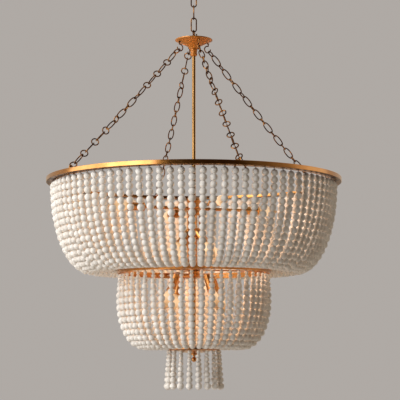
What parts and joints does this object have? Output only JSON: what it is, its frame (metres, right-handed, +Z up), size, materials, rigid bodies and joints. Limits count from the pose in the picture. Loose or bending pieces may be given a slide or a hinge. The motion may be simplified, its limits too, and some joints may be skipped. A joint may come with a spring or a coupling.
{
  "type": "beaded chandelier",
  "caption": "Tiered chandelier of wooden bead strands on gold rings, hung by chains from a canopy, with candle lamps inside and a ring of bead tassels below.",
  "frame": {"origin": "middle of the mounting strap's upper face, where it lies against the ceiling", "axes": "+Z up into the ceiling, -Y towards the front, +X to the right seen from the front"},
  "size_m": [1, 1, 1.4586],
  "materials": {
    "gold": "antique gold, brushed",
    "bronze": "dark aged bronze",
    "beads": "whitewashed wood, matt",
    "steel": "zinc plated",
    "plastic": "satin",
    "glass": "lit, warm white"
  },
  "bodies": {
    "ceiling": {"mounting_strap": "steel", "canopy_loop": "gold"},
    "canopy": {"canopy": "gold", "collar_ring": "gold"},
    "link_1": {"ceiling_link_1": "bronze"},
    "link_2": {"ceiling_link_2": "bronze"},
    "link_3": {"ceiling_link_3": "bronze"},
    "link_4": {"ceiling_link_4": "bronze"},
    "fixture": {"hub_loop": "bronze", "hub_cover": "gold", "cord_gland": "plastic", "hub_dish": "gold", "stem_coupling": "gold", "stem_rod": "gold", "hub_hook_1": "bronze", "hub_hook_2": "bronze", "hub_hook_3": "bronze", "hub_hook_4": "bronze", "suspension_chain_1": "bronze", "suspension_chain_2": "bronze", "suspension_chain_3": "bronze", "suspension_chain_4": "bronze", "top_ring": "gold", "middle_ring": "gold", "bottom_dish": "gold", "finial": "gold", "tier_1_strands_1": "beads", "tier_1_strands_2": "beads", "tier_1_strands_3": "beads", "tier_1_strands_4": "beads", "tier_1_strands_5": "beads", "tier_1_strands_6": "beads", "tier_1_strands_7": "beads", "tier_1_strands_8": "beads", "tier_2_strands_1": "beads", "tier_2_strands_2": "beads", "tier_2_strands_3": "beads", "tier_2_strands_4": "beads", "upper_lamp_frame": "gold", "middle_lamp_frame": "gold", "lower_lamp_frame": "gold"},
    "tassel_1": {"tassel_strands_1": "beads"},
    "tassel_2": {"tassel_strands_2": "beads"},
    "tassel_3": {"tassel_strands_3": "beads"},
    "tassel_4": {"tassel_strands_4": "beads"},
    "tassel_5": {"tassel_strands_5": "beads"},
    "tassel_6": {"tassel_strands_6": "beads"},
    "upper_lamp_1": {"upper_bulb_1": "glass"},
    "upper_lamp_2": {"upper_bulb_2": "glass"},
    "upper_lamp_3": {"upper_bulb_3": "glass"},
    "upper_lamp_4": {"upper_bulb_4": "glass"},
    "middle_lamp_1": {"middle_bulb_1": "glass"},
    "middle_lamp_2": {"middle_bulb_2": "glass"},
    "middle_lamp_3": {"middle_bulb_3": "glass"},
    "middle_lamp_4": {"middle_bulb_4": "glass"},
    "lower_lamp_1": {"lower_bulb_1": "glass"},
    "lower_lamp_2": {"lower_bulb_2": "glass"},
    "lower_lamp_3": {"lower_bulb_3": "glass"},
    "lower_lamp_4": {"lower_bulb_4": "glass"}
  },
  "joints": [
    {"name": "canopy_drop", "type": "slide", "parent": "ceiling", "child": "canopy", "axis": [0, 0, -1], "range_m": [0, 0.016]},
    {"name": "link_1_swing", "type": "hinge", "parent": "ceiling", "child": "link_1", "pos_m": [0, 0, -0.0663], "axis": [1, 0, 0], "range_deg": [-12, 12]},
    {"name": "link_2_swing", "type": "hinge", "parent": "link_1", "child": "link_2", "pos_m": [0, 0, -0.1098], "axis": [0, 1, 0], "range_deg": [-12, 12]},
    {"name": "link_3_swing", "type": "hinge", "parent": "link_2", "child": "link_3", "pos_m": [0, 0, -0.1533], "axis": [1, 0, 0], "range_deg": [-12, 12]},
    {"name": "link_4_swing", "type": "hinge", "parent": "link_3", "child": "link_4", "pos_m": [0, 0, -0.1968], "axis": [0, 1, 0], "range_deg": [-12, 12]},
    {"name": "fixture_swing", "type": "hinge", "parent": "link_4", "child": "fixture", "pos_m": [0, 0, -0.2403], "axis": [1, 0, 0], "range_deg": [-12, 12]},
    {"name": "tassel_1_swing", "type": "hinge", "parent": "fixture", "child": "tassel_1", "pos_m": [0.0425, -0.07361, -1.3278], "axis": [-0.866, -0.5, 0], "range_deg": [-3, 20]},
    {"name": "tassel_2_swing", "type": "hinge", "parent": "fixture", "child": "tassel_2", "pos_m": [0.085, 0, -1.3278], "axis": [0, -1, 0], "range_deg": [-3, 20]},
    {"name": "tassel_3_swing", "type": "hinge", "parent": "fixture", "child": "tassel_3", "pos_m": [0.0425, 0.07361, -1.3278], "axis": [0.866, -0.5, 0], "range_deg": [-3, 20]},
    {"name": "tassel_4_swing", "type": "hinge", "parent": "fixture", "child": "tassel_4", "pos_m": [-0.0425, 0.07361, -1.3278], "axis": [0.866, 0.5, 0], "range_deg": [-3, 20]},
    {"name": "tassel_5_swing", "type": "hinge", "parent": "fixture", "child": "tassel_5", "pos_m": [-0.085, 0, -1.3278], "axis": [0, 1, 0], "range_deg": [-3, 20]},
    {"name": "tassel_6_swing", "type": "hinge", "parent": "fixture", "child": "tassel_6", "pos_m": [-0.0425, -0.07361, -1.3278], "axis": [-0.866, 0.5, 0], "range_deg": [-3, 20]},
    {"name": "upper_bulb_1_out", "type": "slide", "parent": "fixture", "child": "upper_lamp_1", "axis": [0.342, -0.9397, 0], "range_m": [0, 0.028]},
    {"name": "upper_bulb_2_out", "type": "slide", "parent": "fixture", "child": "upper_lamp_2", "axis": [0.9397, 0.342, 0], "range_m": [0, 0.028]},
    {"name": "upper_bulb_3_out", "type": "slide", "parent": "fixture", "child": "upper_lamp_3", "axis": [-0.342, 0.9397, 0], "range_m": [0, 0.028]},
    {"name": "upper_bulb_4_out", "type": "slide", "parent": "fixture", "child": "upper_lamp_4", "axis": [-0.9397, -0.342, 0], "range_m": [0, 0.028]},
    {"name": "middle_bulb_1_out", "type": "slide", "parent": "fixture", "child": "middle_lamp_1", "axis": [0.4255, -0.5647, -0.7071], "range_m": [0, 0.028]},
    {"name": "middle_bulb_2_out", "type": "slide", "parent": "fixture", "child": "middle_lamp_2", "axis": [0.5647, 0.4255, -0.7071], "range_m": [0, 0.028]},
    {"name": "middle_bulb_3_out", "type": "slide", "parent": "fixture", "child": "middle_lamp_3", "axis": [-0.4255, 0.5647, -0.7071], "range_m": [0, 0.028]},
    {"name": "middle_bulb_4_out", "type": "slide", "parent": "fixture", "child": "middle_lamp_4", "axis": [-0.5647, -0.4255, -0.7071], "range_m": [0, 0.028]},
    {"name": "lower_bulb_1_out", "type": "slide", "parent": "fixture", "child": "lower_lamp_1", "axis": [0.2543, -0.3375, -0.9063], "range_m": [0, 0.028]},
    {"name": "lower_bulb_2_out", "type": "slide", "parent": "fixture", "child": "lower_lamp_2", "axis": [0.3375, 0.2543, -0.9063], "range_m": [0, 0.028]},
    {"name": "lower_bulb_3_out", "type": "slide", "parent": "fixture", "child": "lower_lamp_3", "axis": [-0.2543, 0.3375, -0.9063], "range_m": [0, 0.028]},
    {"name": "lower_bulb_4_out", "type": "slide", "parent": "fixture", "child": "lower_lamp_4", "axis": [-0.3375, -0.2543, -0.9063], "range_m": [0, 0.028]}
  ]
}
